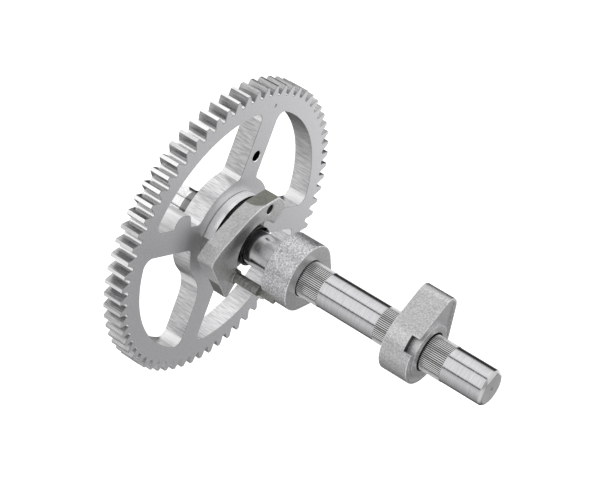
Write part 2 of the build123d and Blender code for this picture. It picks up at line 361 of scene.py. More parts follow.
milling = {"stretch": (1, 1, 0.12), "detail": 3, "marks": 0.6, "depth": 0.002}
hobbing = {"stretch": (1, 1, 0.08), "detail": 3, "marks": 0.45, "roughness": (0.24, 0.36), "depth": 0.004}
gearLooks = {
    # mild steel, faced and then tumbled: an even matte grey with a very fine grain
    "tumbledFaceSteel": {
        "greys": ("#cfcfd1", "#dbdbdd"), "roughness": (0.48, 0.56), "marks": 0.9, "detail": 4, "depth": 0.006,
    },
    # end-milled walls: bright, with fine lines across the cutter's path; the windows' rounded corners and the
    # lug's wall are painted brighter still, as a highlight
    "milledWallSteel": {**milling, "greys": ("#c2c2c3", "#eeeeef"), "roughness": (0.28, 0.36)},
    "highlitCornerSteel": {**milling, "greys": ("#f4f4f4", "#ffffff"), "roughness": (0.52, 0.62)},
    # hobbed flanks, crossed by fine feed lines along each tooth, are painted dark as the shade in the gaps
    # between the teeth; the lands, turned with the blank, and the roots are bright
    "gapShadedFlankSteel": {**hobbing, "greys": ("#a0a0a1", "#c8c8c9")},
    "turnedLandSteel": {**hobbing, "greys": ("#f2f2f2", "#fcfcfc")},
    # lathe-turned boss: bright, with fine rings left by the tool
    "turnedBossSteel": {
        "greys": ("#f2f2f2", "#ffffff"), "roughness": (0.24, 0.34), "marks": 0.6, "stretch": (0.04, 0.04, 1),
        "detail": 2, "depth": 0.004,
    },
    # edges broken by tumbling: duller and darker than the face, which draws a fine line round it; the same
    # darker grey is painted as shade on the boss's top and foot and on its side under the weight's heel
    "brokenEdgeAndShadeSteel": {
        "greys": ("#8c8c8a", "#a0a09e"), "roughness": 0.5, "marks": 0.6, "detail": 3, "depth": 0.004,
    },
    # drilled bores, painted nearly black inside as the shade in them
    "shadedBoreSteel": {
        "greys": ("#161616", "#2a2a29"), "roughness": 0.4, "marks": 0.6, "stretch": (0.1, 0.1, 1),
        "detail": 2, "depth": 0.01,
    },
    # edges at the gaps between the pieces, painted nearly black as the shade that falls in the gaps, a little
    # shiny
    "shadedMouthSteel": {
        "greys": ("#161616", "#2a2a2a"), "roughness": 0.36, "marks": 0.6, "detail": 2, "depth": 0.006,
    },
}

sintering = {"detail": 5, "grit": 0.75, "marks": 0.7, "roughness": (0.34, 0.48)}
lobeLooks = {
    # pressed and sintered steel powder: light grey and grainy like fine sand, smoother where it ran in
    # the die or under the punch
    "sinteredLobeSteel": {**sintering, "greys": ("#868687", "#f8f8fa"), "depth": 0.03},
    "smoothLobeSteel": {**sintering, "greys": ("#a8a8a9", "#e4e4e5"), "depth": 0.016},
    "pressedFaceSteel": {**sintering, "greys": ("#b8b8b9", "#dadadb"), "depth": 0.012},
}

oiledSintering = {
    **sintering, "greys": ("#bababa", "#e2e2e2"), "grit": 0.7, "roughness": (0.36, 0.46), "depth": 0.03,
}
flatMilling = {"stretch": (1, 1, 0.3), "detail": 3, "marks": 0.5, "roughness": (0.34, 0.46), "depth": 0.01}
releaseLooks = {
    # sintered steel, oiled: a softer grey with the same sandy grain
    "sinteredWeightSteel": oiledSintering,
    # on its front, painted shade round the spring that fades away from it
    "shadedFrontSteel": {
        **oiledSintering, "paintedShadeGreys": ("#525252", "#7a7a7a"),
        "paintedShadePlace": (15.5, 6.0), "paintedShadeSquash": 0.6, "paintedShadeReach": (2.6, 8.0),
    },
    # flats milled after sintering: darker, a little olive, with crossing cutter lines, the tail's walls
    # darker still; the hole's wall is painted darker as the shade inside it
    "milledArmSteel": {**flatMilling, "greys": ("#8a8a84", "#a8a89e")},
    "milledTailSteel": {**flatMilling, "greys": ("#5e5e5a", "#7b7b77")},
    "shadedWeightHoleSteel": {**flatMilling, "greys": ("#8c8c8c", "#a4a4a4")},
    # hardened and ground pin, dark grey with soft rings
    "hardenedPinSteel": {
        "greys": ("#72726f", "#989895"), "roughness": (0.3, 0.42), "marks": 0.8, "stretch": (0.3, 0.3, 1),
        "detail": 3, "depth": 0.01,
    },
    # oil-tempered spring wire: nearly black, with a slight oily sheen
    "oilTemperedWire": {
        "greys": ("#1c1c1c", "#363636"), "roughness": (0.22, 0.32), "marks": 0.7, "detail": 2, "depth": 0.004,
    },
}

for looks in (shaftLooks, gearLooks, lobeLooks, releaseLooks):
    for name, look in looks.items():
        finishes[name] = makeFinish(name, look)

knurl = {
    # the valleys' and the crests' grey, and where each ends on the way up from the one radius to the other
    "greys": ("#2c2c2c", "#e0e0e0", 0.1, 0.9), "climb": (7.82, 8.04), "roughness": 0.24,
}


def makeKnurlFinish():
    # rolled straight knurl: light crests, with painted shade in the valleys between, darker by the radius
    material, tree, shader, place = newFinish("rolledKnurlSteel")
    shader.inputs["Roughness"].default_value = knurl["roughness"]
    rise = awayFrom(tree, place, *knurl["climb"])
    greys = addNode(tree, "ShaderNodeValToRGB", inputs={"Fac": rise}, stops=twoGreys(*knurl["greys"]))
    tree.links.new(greys.outputs["Color"], shader.inputs["Base Color"])
    return material


finishes["rolledKnurlSteel"] = makeKnurlFinish()
print("materials made")


# Timing gear

gear = {
    "module": 2.0, "teeth": 66, "pressureAngle": 20.0, "rootRound": 0.4, "thickness": 9.5, "phase": 1.18,
    "rimInner": 56.3, "hub": 25.3, "spokeWidth": 11.8, "firstSpoke": 45.0,
    "rimCorner": 4.0, "hubCorner": 3.0, "sweptCorner": 17.0, "edge": 0.18, "bore": 8.0775,
    "flankSteps": 7, "tipSteps": 3, "rootSteps": 6, "rimSteps": 48, "hubSteps": 36,
    "rimCornerSteps": 14, "hubCornerSteps": 9, "sweptCornerSteps": 24,
    "boss": 19.0, "bossHeight": 5.0, "bossChamfer": 0.5, "bossFoot": 0.3, "bossSides": 144,
    "heelShadeStart": 44.0, "heelShadeEnd": 112.0,
    "pinReach": 15.7, "pinAngle": 94.45, "pinBore": 2.36, "pinSides": 40,
    "indexHole": 2.3, "indexChamfer": 0.35, "indexReach": 35.4, "indexAngle": 315.0, "indexSides": 48,
    "dimple": 0.9, "dimpleDepth": 0.7, "dimpleReach": 58.8, "dimpleAngle": -45.5, "dimpleSides": 24,
    # the dimple's steep wall: its share of the depth, and how narrow it ends
    "dimpleWall": 0.7, "dimpleNarrow": 0.5,
    # a window's corner counts from here: off the spoke's side, off the hub and off the rim
    "cornerOffSide": 0.05, "cornerOffHub": 0.1, "cornerOffRim": 0.02,
    # how much of its normal lies along the shaft: more on a flat face, less on a wall
    "flatNormal": 0.9, "wallNormal": 0.5, "smoothAngle": 30,
}
lug = {
    "footStart": 30.7, "footEnd": 43.097, "tipStart": 34.6, "tipEnd": 42.6, "height": 6.0, "corner": 3.3,
    "cornerSteps": 8,
}
# full-depth teeth: a module above the pitch circle, and a module and a quarter below it
pitchRadius = gear["module"] * gear["teeth"] / 2
tipRadius = gear["module"] * (gear["teeth"] / 2 + 1)
rootRadius = gear["module"] * (gear["teeth"] / 2 - 1.25)
halfSpoke = gear["spokeWidth"] / 2
pinPlace = polar(gear["pinReach"], gear["pinAngle"])
indexPlace = polar(gear["indexReach"], gear["indexAngle"])


def toothHalfAngle(radius):
    pressure = math.radians(gear["pressureAngle"])
    roll = math.acos(pitchRadius * math.cos(pressure) / radius)
    half = math.pi / (2 * gear["teeth"]) + math.tan(pressure) - pressure - (math.tan(roll) - roll)
    return math.degrees(half)


def roundCorner(before, corner, after, radius, steps):
    # a straight run up to a rounded corner, and round it
    if radius == 0:
        lineTo(*corner)
        return
    back = Vector((before[0] - corner[0], before[1] - corner[1])).normalized()
    on = Vector((after[0] - corner[0], after[1] - corner[1])).normalized()
    opening = back.angle(on)
    tangent = Vector(corner) + back * radius / math.tan(opening / 2)
    centre = Vector(corner) + (back + on).normalized() * radius / math.sin(opening / 2)
    side = 1 if back.x * on.y - back.y * on.x < 0 else -1
    lineTo(*tangent)
    arcRound(centre.x, centre.y, side * (180 - math.degrees(opening)), steps)


def drawTooth(z):
    # one tooth and the root after it
    phase, foot = gear["phase"], rootRadius + gear["rootRound"]
    radii = [foot + (tipRadius - foot) * i / gear["flankSteps"] for i in range(gear["flankSteps"] + 1)]
    penDown(*polar(foot, phase - toothHalfAngle(foot)), z)
    for radius in radii[1:]:
        lineTo(*polar(radius, phase - toothHalfAngle(radius)))
    arcRound(0, 0, 2 * toothHalfAngle(tipRadius), gear["tipSteps"])
    for radius in radii[-2::-1]:
        lineTo(*polar(radius, phase + toothHalfAngle(radius)))
    gap = math.radians(180 / gear["teeth"] - toothHalfAngle(foot))
    across, along = foot * math.sin(gap), foot * math.cos(gap)
    reach = (foot**2 - rootRadius**2) / (2 * (along - rootRadius))
    sweep = -2 * math.degrees(math.atan2(across, reach - along))
    arcRound(*polar(reach, phase + 180 / gear["teeth"]), sweep, gear["rootSteps"])


def filletOnLine(radius, corner, outside):
    # the fillet between a spoke's side and a round wall: its centre, seen along the spoke
    side = halfSpoke + corner
    reach = radius + corner if outside else radius - corner
    return math.sqrt(reach**2 - side**2), side


def drawWindow(number, z):
    angle = gear["firstSpoke"] + number * 90
    far = "sweptCorner" if number == 0 else "hubCorner"
    hx, hy = filletOnLine(gear["hub"], gear["hubCorner"], True)
    rx, ry = filletOnLine(gear["rimInner"], gear["rimCorner"], False)
    fx, fy = filletOnLine(gear["hub"], gear[far], True)
    rimTurn = 90 + math.degrees(math.atan2(ry, rx))
    nearTurn = 90 - math.degrees(math.atan2(hy, hx))
    farTurn = 90 - math.degrees(math.atan2(fy, fx))
    penDown(*turned((hx, halfSpoke), angle), z)
    lineTo(*turned((rx, halfSpoke), angle))
    arcRound(*turned((rx, ry), angle), rimTurn, gear["rimCornerSteps"])
    across = 90 - 2 * math.degrees(math.atan2(ry, rx))
    arcRound(0, 0, across, gear["rimSteps"])
    arcRound(*turned((rx, -ry), angle + 90), rimTurn, gear["rimCornerSteps"])
    if number == 3:
        drawLug(angle + 90)
    lineTo(*turned((fx, -halfSpoke), angle + 90))
    arcRound(*turned((fx, -fy), angle + 90), farTurn, gear[far + "Steps"])
    arcRound(0, 0, 90 - nearTurn - farTurn, gear["hubSteps"])
    arcRound(*turned((hx, hy), angle), nearTurn, gear["hubCornerSteps"])


def drawLug(angle):
    # the lug on the edge of the first spoke
    tip = -halfSpoke - lug["height"]
    corners = [
        turned((lug["footEnd"], -halfSpoke), angle), turned((lug["tipEnd"], tip), angle),
        turned((lug["tipStart"], tip), angle), turned((lug["footStart"], -halfSpoke), angle),
    ]
    lineTo(*corners[0])
    roundCorner(corners[0], corners[1], corners[2], lug["corner"], lug["cornerSteps"])
    roundCorner(corners[1], corners[2], corners[3], lug["corner"], lug["cornerSteps"])
    lineTo(*corners[3])


def onLug(x, y):
    along, side = turned((x, y), -gear["firstSpoke"])
    out = -side - halfSpoke
    return gear["cornerOffSide"] < out < lug["height"] + hair and lug["footStart"] < along < lug["footEnd"]


def inCorner(x, y):
    # the rounds of the windows, where a spoke meets the hub or the rim
    reach, angle = math.hypot(x, y), math.degrees(math.atan2(y, x))
    fromSpoke = (angle - gear["firstSpoke"] + 45) % 90 - 45
    side = abs(polar(reach, fromSpoke)[1]) - halfSpoke
    atHub = gear["cornerOffHub"] < reach - gear["hub"] < gear["hubCorner"]
    atRim = gear["cornerOffRim"] < gear["rimInner"] - reach < gear["rimCorner"]
    return side > gear["cornerOffSide"] and (atHub or atRim)


def gearFinish(x, y, z, normal):
    reach, top = math.hypot(x, y), gear["bossHeight"]
    fromPin = math.hypot(x - pinPlace[0], y - pinPlace[1])
    fromIndex = math.hypot(x - indexPlace[0], y - indexPlace[1])
    if z > hair:
        chamfer = top - gear["bossChamfer"]
        # painted shade on the boss's chamfer, in the gap under the weight
        if chamfer < z < top - near["level"]:
            return "shadedMouthSteel"
        # painted shade on the boss's top and foot, and on its side under the weight's heel
        shadedUnderHeel = gear["heelShadeStart"] < math.degrees(math.atan2(y, x)) < gear["heelShadeEnd"]
        return "turnedBossSteel" if gear["bossFoot"] < z < chamfer and not shadedUnderHeel else "brokenEdgeAndShadeSteel"
    if abs(normal.z) > gear["flatNormal"]:
        return "tumbledFaceSteel"
    # painted shade inside the index hole and the release pin's bore
    if fromIndex < gear["indexHole"] + hair or fromPin < gear["pinBore"] + gear["edge"]:
        return "shadedBoreSteel"
    if fromIndex < gear["indexHole"] + gear["indexChamfer"]:
        return "turnedLandSteel"
    if abs(normal.z) >= gear["wallNormal"]:
        return "brokenEdgeAndShadeSteel"
    if reach > tipRadius - hair or abs(reach - rootRadius) < gear["rootRound"]:
        return "turnedLandSteel"
    # painted shade on the flanks, in the gaps between the teeth
    if reach > rootRadius:
        return "gapShadedFlankSteel"
    # painted highlight on the lug's wall and the windows' rounded corners
    return "highlitCornerSteel" if onLug(x, y) or inCorner(x, y) else "milledWallSteel"


def makeGear():
    piece = newPiece("timingGear")
    edge, back, top = gear["edge"], -gear["thickness"], gear["bossHeight"]
    drawTooth(-edge)
    bpy.ops.mesh.select_all(action="SELECT")
    bpy.ops.mesh.spin(steps=gear["teeth"], dupli=True, angle=math.tau, center=(0, 0, 0), axis=(0, 0, 1))
    bpy.ops.mesh.select_all(action="SELECT")
    weld()
    for number in range(4):
        drawWindow(number, -edge)
    bpy.ops.mesh.select_all(action="SELECT")
    weld()
    # index hole with broken edges
    ix, iy = indexPlace
    hole, chamfer = gear["indexHole"], gear["indexChamfer"]
    mouth = hole + chamfer - edge
    addCircle(mouth, -edge, ix, iy, gear["indexSides"])
    pull(edge - chamfer, hole / mouth, ix, iy)
    pull(back + 2 * chamfer)
    pull(edge - chamfer, mouth / hole, ix, iy)
    # walls of the teeth and windows
    pick(lambda x, y, z: math.hypot(x - ix, y - iy) > mouth + hair)
    pull(back + 2 * edge)
    # bore and the release pin's bore
    addCircle(gear["bore"], top)
    pull(back + edge - top)
    addCircle(gear["pinBore"], top, *pinPlace, gear["pinSides"])
    pull(back + edge - top)
    pickLevel(back + edge)
    bpy.ops.mesh.fill()
    breakEdge(edge, -edge)
    # front face, open at the boss and the timing dimple
    dx, dy = polar(gear["dimpleReach"], gear["dimpleAngle"])
    addCircle(gear["boss"], -edge, sides=gear["bossSides"])
    addCircle(gear["dimple"], -edge, dx, dy, gear["dimpleSides"])
    pickLevel(-edge)
    bpy.ops.mesh.fill()
    breakEdge(edge, edge)
    pickCircle(dx, dy, gear["dimple"], 0)
    pull(-gear["dimpleWall"] * gear["dimpleDepth"], gear["dimpleNarrow"], dx, dy)
    pull((gear["dimpleWall"] - 1) * gear["dimpleDepth"])
    bpy.ops.mesh.merge(type="CENTER")
    # boss
    pickCircle(0, 0, gear["boss"], 0)
    pull(gear["bossFoot"])
    pull(top - gear["bossFoot"] - gear["bossChamfer"])
    pull(gear["bossChamfer"], 1 - gear["bossChamfer"] / gear["boss"])
    pickLevel(top)
    bpy.ops.mesh.fill()
    finishPiece(piece, gear["smoothAngle"])
    wear(piece, (
        "tumbledFaceSteel", "milledWallSteel", "gapShadedFlankSteel", "turnedLandSteel", "turnedBossSteel",
        "brokenEdgeAndShadeSteel", "shadedBoreSteel", "highlitCornerSteel", "shadedMouthSteel",
    ), gearFinish)
    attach(piece, "shaft_assembly")
    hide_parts("timing_gear")


makeGear()
print("timing gear made")


# Camshaft

shaft = {
    "radius": 7.9375, "freeEnd": 135.8, "chamfer": 1.3, "knurls": 60, "crest": 8.1, "valley": 7.8,
    "runOut": 0.35, "bands": [(82.2, 115.9), (31.0, 53.5), (-9.5, 4.4)],
    # where the chamfer bends: its share of the height, and of the width
    "bendHeight": 0.25, "bendWidth": 0.45,
    "endRim": 0.9, "endDish": 0.04, "centreMark": 1.1, "centreDepth": 0.4, "centreNarrow": 0.3,
    "journalEnd": -22.0, "tangRadius": 7.55, "tangEnd": -42.0, "tangChamfer": 0.8, "tangThickness": 5.1,
    "cutterRadius": 30.0, "cutterReach": 22.0, "cutterAngle": 23.0, "cutterSides": 240, "shoulderGap": 0.2,
    # what lies deeper than this is the tang's flat, or the end's chamfer
    "tangSkin": 0.15, "endSkin": 0.05, "smoothAngle": 25,
}


def ridgeRing(z, outwards):
    # every fourth point of the ring is a crest, and the points between are valleys
    def nth(x, y, remainder):
        number = round(math.degrees(math.atan2(y, x)) % 360 / (90 / shaft["knurls"]))
        return number % 4 == remainder

    for remainder, radius in ((0, shaft["crest"]), (2, shaft["valley"])):
        factor = radius / shaft["radius"] if outwards else shaft["radius"] / radius
        pick(lambda x, y, pz: abs(pz - z) < near["level"] and nth(x, y, remainder))
        bpy.ops.transform.resize(value=(factor, factor, 1), center_override=(0, 0, 0))
    pickLevel(z)


def shaftFinish(x, y, z, normal):
    if any(start < z < end for start, end in shaft["bands"]):
        return "rolledKnurlSteel"
    if z > shaft["freeEnd"] - shaft["chamfer"]:
        return "turnedBossSteel" if z > shaft["freeEnd"] - shaft["endSkin"] else "turnedChamferSteel"
    if z >= 0:
        return "groundBarSteel"
    # painted shade on the stub behind the gear, and a painted highlight on the tang's round
    if z > shaft["journalEnd"] + near["level"]:
        return "shadedStubSteel"
    onFlat = math.hypot(x, y) < shaft["tangRadius"] - shaft["tangSkin"]
    return "milledWallSteel" if onFlat else "highlitTangSteel"


def makeCamshaft():
    piece = newPiece("groundShaft")
    radius, chamfer = shaft["radius"], shaft["chamfer"]
    endRadius = radius - chamfer
    bend = endRadius + shaft["bendWidth"] * chamfer
    addCircle(endRadius, shaft["freeEnd"], sides=4 * shaft["knurls"])
    pull(-shaft["bendHeight"] * chamfer, bend / endRadius)
    pull((shaft["bendHeight"] - 1) * chamfer, radius / bend)
    z = shaft["freeEnd"] - chamfer
    for start, end in shaft["bands"]:
        pull(end - z)
        pull(-shaft["runOut"])
        ridgeRing(end - shaft["runOut"], True)
        pull(start - end + 2 * shaft["runOut"])
        pull(-shaft["runOut"])
        ridgeRing(start, False)
        z = start
    pull(shaft["journalEnd"] - z)
    pull(0, shaft["tangRadius"] / radius)
    pull(shaft["tangEnd"] - shaft["journalEnd"] + shaft["tangChamfer"])
    pull(-shaft["tangChamfer"], 1 - shaft["tangChamfer"] / shaft["tangRadius"])
    closeRing()
    # free end: a shallow turned face with its centre mark
    pickLevel(shaft["freeEnd"])
    pull(0, shaft["endRim"])
    pull(-shaft["endDish"], shaft["centreMark"] / (shaft["endRim"] * endRadius))
    pull(-shaft["centreDepth"], shaft["centreNarrow"])
    closeRing()
    # the tang: two side-milled flats that end in the cutter's arc
    rise = math.sqrt(shaft["cutterRadius"]**2 - (shaft["cutterReach"] - shaft["tangRadius"])**2)
    centreZ = shaft["journalEnd"] - shaft["shoulderGap"] - rise
    width = 2 * radius
    for side in (1, -1):
        out = side * (shaft["tangThickness"] + width) / 2
        spot = turned((shaft["cutterReach"], out), shaft["cutterAngle"])
        turn = (math.radians(90), 0, math.radians(shaft["cutterAngle"]))
        cut(piece, millingTool(shaft["cutterRadius"], width, (*spot, centreZ), turn, shaft["cutterSides"]))
    finishPiece(piece, shaft["smoothAngle"])
    wear(piece, (
        "groundBarSteel", "rolledKnurlSteel", "shadedStubSteel", "milledWallSteel", "highlitTangSteel",
        "turnedChamferSteel", "turnedBossSteel",
    ), shaftFinish)
    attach(piece, "shaft_assembly")
    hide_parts("camshaft")


makeCamshaft()
print("camshaft made")


# Cam lobes

lobes = {
    "base": 15.3, "lift": 8.7, "nose": 6.0, "edge": 0.5, "bore": 8.0775, "mouth": 0.9,
    "baseSteps": 100, "noseSteps": 44, "flatNormal": 0.95, "smoothAngle": 35,
}
exhaust = {"back": 30.0, "width": 13.0, "direction": 203.0, "grooveEnd": 37.1}
intake = {
    "back": 91.0, "width": 13.8, "direction": 303.0, "collar": 12.0, "collarHeight": 0.6,
    "recess": 0.8, "recessWall": 0.25, "rimBand": 1.3,
    # the collar's rounded edge: the height of each step, and how far in it has come
    "collarEdge": [(0.2, 0.1), (0.1, 0.35)],
    "notchWidth": 7.3, "notchDepth": 3.7, "notchAngle": 27.7, "notchSteps": 10,
}


def drawLobe(direction, z):
    base, nose = lobes["base"], lobes["nose"]
    noseReach = base + lobes["lift"] - nose
    flank = math.degrees(math.acos((base - nose) / noseReach))
    start = polar(base, direction + flank)
    centre = polar(noseReach, direction)
    tip = polar(nose, direction - flank)
    penDown(*start, z)
    arcRound(0, 0, 360 - 2 * flank, lobes["baseSteps"])
    lineTo(centre[0] + tip[0], centre[1] + tip[1])
    arcRound(*centre, 2 * flank, lobes["noseSteps"])
    lineTo(*start)
    bpy.ops.mesh.select_linked()
    weld()


def lobeBody(name, direction, back, width):
    # walls, back face and bore, with the front left open
    piece = newPiece(name)
    edge, bore, mouth = lobes["edge"], lobes["bore"], lobes["mouth"]
    drawLobe(direction, back + width - edge)
    pull(2 * edge - width)
    addCircle(bore + mouth, back + edge)
    pickLevel(back + edge)
    bpy.ops.mesh.fill()
    softenEdge(edge, up=-1)
    pickCircle(0, 0, bore + mouth, back)
    pull(mouth, bore / (bore + mouth))
    return piece


def makeExhaustLobe():
    front = exhaust["back"] + exhaust["width"]
    piece = lobeBody("exhaustLobe", exhaust["direction"], exhaust["back"], exhaust["width"])
    bore, mouth, edge = lobes["bore"], lobes["mouth"], lobes["edge"]
    pull(exhaust["width"] - 2 * mouth)
    pull(mouth - edge, (bore + mouth - edge) / bore)
    pickLevel(front - edge)
    bpy.ops.mesh.fill()
    softenEdge(edge)
    # the groove for the release pin
    start, end = exhaust["back"] - overrun, exhaust["grooveEnd"]
    cut(piece, millingTool(gear["pinBore"], end - start, (*pinPlace, (start + end) / 2)))
    finishPiece(piece, lobes["smoothAngle"])

    def finishAt(x, y, z, normal):
        # painted shade in the bore's mouth at the front
        if math.hypot(x, y) < bore + mouth - edge and z > front - mouth - hair:
            return "shadedMouthSteel"
        return "pressedFaceSteel" if abs(normal.z) > lobes["flatNormal"] else "sinteredLobeSteel"

    wear(piece, ("sinteredLobeSteel", "pressedFaceSteel", "shadedMouthSteel"), finishAt)
    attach(piece, "shaft_assembly")
    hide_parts("exhaust_lobe")


def makeIntakeLobe():
    front = intake["back"] + intake["width"]
    piece = lobeBody("intakeLobe", intake["direction"], intake["back"], intake["width"])
    bore, mouth, edge = lobes["bore"], lobes["mouth"], lobes["edge"]
    collar, top = intake["collar"], front + intake["collarHeight"]
    pull(top - intake["back"] - 2 * mouth)
    pull(mouth, (bore + mouth) / bore)
    # front face: rim band, recess and collar
    addCircle(collar, front - edge)
    pickLevel(front - edge)
    bpy.ops.mesh.fill()
    softenEdge(edge)
    bpy.ops.mesh.inset(thickness=(intake["rimBand"] - edge) * mm, depth=0, use_boundary=False)
    bpy.ops.mesh.inset(thickness=intake["recessWall"] * mm, depth=0, use_boundary=False)
    bpy.ops.transform.translate(value=(0, 0, -intake["recess"] * mm))
    pickCircle(0, 0, collar, front - intake["recess"])
    rise = intake["recess"] + intake["collarHeight"]
    pull(rise - sum(height for height, inset in intake["collarEdge"]))
    reach = collar
    for height, inset in intake["collarEdge"]:
        pull(height, (collar - inset) / reach)
        reach = collar - inset
    pickLevel(top)
    bpy.ops.mesh.fill()
    putDown()
    # notch through the rim, up to the collar
    tool = newPiece("notchTool")
    half = intake["notchWidth"] / 2
    lean = math.degrees(math.asin(half / collar))
    low, angle = front - intake["notchDepth"], intake["notchAngle"]
    penDown(*polar(collar, angle + lean), low)
    lineTo(*turned((2 * collar, half), angle))
    lineTo(*turned((2 * collar, -half), angle))
    lineTo(*polar(collar, angle - lean))
    arcRound(0, 0, 2 * lean, intake["notchSteps"])
    bpy.ops.mesh.select_all(action="SELECT")
    weld()
    bpy.ops.mesh.fill()
    pull(intake["notchDepth"] + 3 * overrun)
    bpy.ops.object.mode_set(mode="OBJECT")
    cut(piece, tool)
    finishPiece(piece, lobes["smoothAngle"])

    def finishAt(x, y, z, normal):
        # painted shade in the bore's mouth at the collar and on the notch's floor
        if (z > top - mouth - hair and math.hypot(x, y) < bore + mouth) or abs(z - low) < near["circle"]:
            return "shadedMouthSteel"
        return "pressedFaceSteel" if abs(normal.z) > lobes["flatNormal"] else "smoothLobeSteel"

    wear(piece, ("smoothLobeSteel", "pressedFaceSteel", "shadedMouthSteel"), finishAt)
    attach(piece, "shaft_assembly")
    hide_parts("intake_lobe")


makeExhaustLobe()
makeIntakeLobe()
print("lobes made")


# Compression release

weight = {
    "back": 7.1, "thickness": 8.1, "inner": 12.4, "edge": 0.4, "backEdge": 0.2, "pinBore": 2.28,
    # the outline's corners: reach from the shaft, degrees back from the pin, and their round
    "corners": [
        (25.5, -18.9, 1.6), (24.358, 10.65, 0.0), (31.5, 41.2, 2.6), (27.4, 54.0, 3.0), (20.6, 98.2, 5.0),
        (20.934, 117.914, 0.0), (23.619, 148.99, 0.0), (22.9, 168.0, 2.2), (18.0, 174.3, 2.2),
    ],
    "cornerSteps": 8, "innerSteps": 80, "holeSides": 40,
    "mouthRound": 1.5, "hole": 2.2, "holeReach": 18.0, "holeAngle": 138.5,
    "reliefDepth": 1.5, "reliefHeight": 2.1, "reliefRun": 30.0,
    "flatAngle": 121.2, "flatReach": 20.55, "flatSide": 2.2, "flatRun": 15.2, "flatTop": 14.5,
    "flatRound": 5.0, "flatRoundSteps": 14, "flatTool": 3.0,
    # the tail's walls lie below the one in x and above the other in y
    "tailWalls": (2.6, 23.0), "wallNormal": 0.3, "frontNormal": 0.95, "skin": 0.02, "smoothAngle": 35,
}


def weightPoint(reach, back):
    return polar(reach, gear["pinAngle"] - back)


def drawWeight(z):
    inner, mouth, steps = weight["inner"], weight["mouthRound"], weight["cornerSteps"]
    corners = [(*weightPoint(reach, back), rounding) for reach, back, rounding in weight["corners"]]
    along = math.sqrt((inner + mouth)**2 - mouth**2)
    lean = math.degrees(math.atan2(mouth, along))
    tailAngle = gear["pinAngle"] - weight["corners"][0][1]
    forkAngle = gear["pinAngle"] - weight["corners"][-1][1]
    penDown(*polar(along, tailAngle), z)
    points = [(0.0, 0.0)] + [(x, y) for x, y, rounding in corners] + [(0.0, 0.0)]
    for i, (x, y, rounding) in enumerate(corners):
        roundCorner(points[i], (x, y), points[i + 2], rounding, steps)
    lineTo(*polar(along, forkAngle))
    arcRound(*turned((along, mouth), forkAngle), -(90 + lean), steps)
    arcRound(0, 0, tailAngle - forkAngle - 2 * lean, weight["innerSteps"])
    arcRound(*turned((along, -mouth), tailAngle), -(90 + lean), steps)
    bpy.ops.mesh.select_linked()
    weld()


def cutTailRelief(piece):
    # the back edge of the tail is relieved from the bend in the wall to its end
    bend, tail = weight["corners"][1], weight["corners"][0]
    (bx, by), (tx, ty) = weightPoint(*bend[:2]), weightPoint(*tail[:2])
    turn = math.degrees(math.atan2(ty - by, tx - bx))
    size = (weight["reliefRun"], weight["reliefDepth"] + overrun, weight["reliefHeight"] + overrun)
    x, y = turned((0, -overrun), turn)
    cut(piece, blockTool(size, weight["back"] - overrun, turn, bx + x, by + y))


def cutArmFlat(piece):
    # the shallow flat milled into the arm, with the cutter's round at its foot
    turn = gear["pinAngle"] - weight["flatAngle"]
    run, low = weight["flatRun"], weight["back"] - overrun
    x, y = turned((weight["flatReach"], weight["flatSide"] - run), turn)
    tool = blockTool((weight["flatTool"], run, weight["flatTop"] - low), low, turn, x, y)
    bpy.ops.object.mode_set(mode="EDIT")
    pick(lambda px, py, pz: py > run - hair and pz > overrun)
    bpy.ops.mesh.bevel(offset=weight["flatRound"] * mm, segments=weight["flatRoundSteps"], affect="EDGES")
    bpy.ops.object.mode_set(mode="OBJECT")
    cut(piece, tool)


def weightFinish(x, y, z, normal):
    hx, hy = weightPoint(weight["holeReach"], weight["holeAngle"])
    out = turned((x, y), weight["flatAngle"] - gear["pinAngle"])[0]
    if x < weight["tailWalls"][0] and y > weight["tailWalls"][1] and abs(normal.z) < weight["wallNormal"]:
        return "milledTailSteel"
    if abs(out - weight["flatReach"]) < weight["skin"]:
        return "milledArmSteel"
    # painted shade inside the weight's hole
    if math.hypot(x - hx, y - hy) < weight["hole"] + weight["skin"]:
        return "shadedWeightHoleSteel"
    # painted shade on the front round the spring
    return "shadedFrontSteel" if normal.z > weight["frontNormal"] else "sinteredWeightSteel"


def makeFlyweight():
    piece = newPiece("flyweight")
    back, front = weight["back"], weight["back"] + weight["thickness"]
    edge, backEdge = weight["edge"], weight["backEdge"]
    through = edge + backEdge - weight["thickness"]
    drawWeight(front - edge)
    pull(through)
    addCircle(weight["pinBore"], front - edge, *pinPlace, weight["holeSides"])
    pull(through)
    hole = weightPoint(weight["holeReach"], weight["holeAngle"])
    addCircle(weight["hole"], front - edge, *hole, weight["holeSides"])
    pull(through)
    pickLevel(back + backEdge)
    bpy.ops.mesh.fill()
    breakEdge(backEdge, -backEdge)
    pickLevel(front - edge)
    bpy.ops.mesh.fill()
    softenEdge(edge)
    cutTailRelief(piece)
    cutArmFlat(piece)
    finishPiece(piece, weight["smoothAngle"])
    wear(piece, (
        "sinteredWeightSteel", "milledArmSteel", "milledTailSteel", "shadedFrontSteel", "shadedWeightHoleSteel",
    ), weightFinish)
    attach(piece, "release")
    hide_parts("flyweight")


pin = {
    "radius": 2.3, "back": -9.0, "tip": 36.9, "collar": 3.2, "collarBack": 15.2, "collarHeight": 1.7,
    "flatStart": 29.0, "flatOffset": -0.45, "flatBlock": 10.0, "swing": 40.0, "edge": 0.25, "sides": 48,
    "smoothAngle": 32,
}


